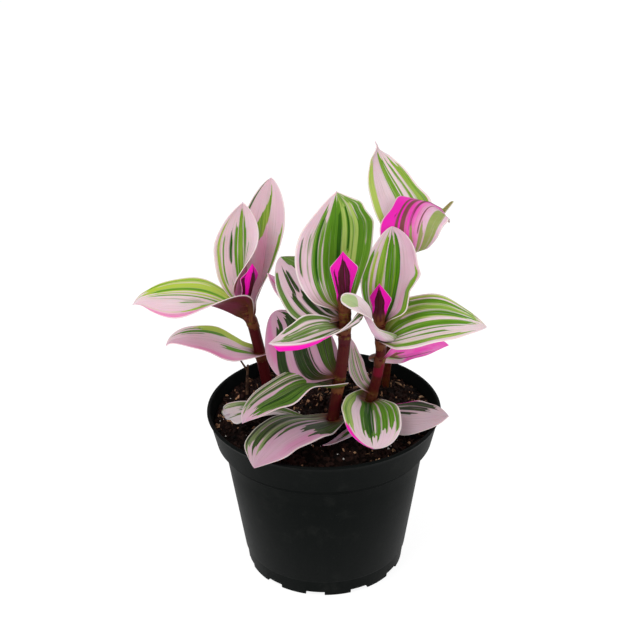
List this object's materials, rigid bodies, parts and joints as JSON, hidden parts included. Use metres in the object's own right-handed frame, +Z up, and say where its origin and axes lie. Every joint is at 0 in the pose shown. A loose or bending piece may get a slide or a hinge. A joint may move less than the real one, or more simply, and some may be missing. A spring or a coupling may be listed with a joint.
{
  "type": "potted plant",
  "caption": "Tradescantia with upright maroon stems and pink and green striped leaves, growing in a round black plastic nursery pot of soil.",
  "frame": {"origin": "centre of the pot's underside, on the floor that it stands on", "axes": "+Z up out of the pot, -Y towards the front of the plant, +X to its right"},
  "size_m": [0.162, 0.1194, 0.1983],
  "materials": {
    "pot": "black satin moulded plastic",
    "soil": "dark damp peat mix with bark chips and white grains",
    "stem": "smooth maroon stem, greener at the nodes",
    "leaf": "satin leaf, pink and green stripes above, magenta below, with a pale margin",
    "young_leaf": "rolled young leaf, bright magenta outside with maroon stripes",
    "dry_stalk": "dull brown dry stalk"
  },
  "bodies": {
    "root": {"pot": "pot", "soil": "soil", "stem_a": "stem", "stem_b": "stem", "stem_c": "stem", "stem_d": "stem", "leaf_a1": "leaf", "leaf_a2": "leaf", "leaf_a3": "leaf", "leaf_a4": "leaf", "leaf_a5": "young_leaf", "leaf_b1": "leaf", "leaf_b2": "young_leaf", "leaf_b3": "leaf", "leaf_b4": "leaf", "leaf_b5": "leaf", "leaf_b6": "leaf", "leaf_b7": "leaf", "leaf_b8": "leaf", "leaf_b9": "leaf", "leaf_c1": "leaf", "leaf_c2": "leaf", "leaf_c3": "leaf", "leaf_c4": "leaf", "leaf_c5": "young_leaf", "leaf_c6": "leaf", "leaf_c7": "leaf", "leaf_d1": "leaf", "leaf_d2": "leaf", "leaf_d3": "young_leaf", "leaf_e": "leaf", "leaf_f": "leaf", "dry_stalk": "dry_stalk"}
  },
  "joints": []
}
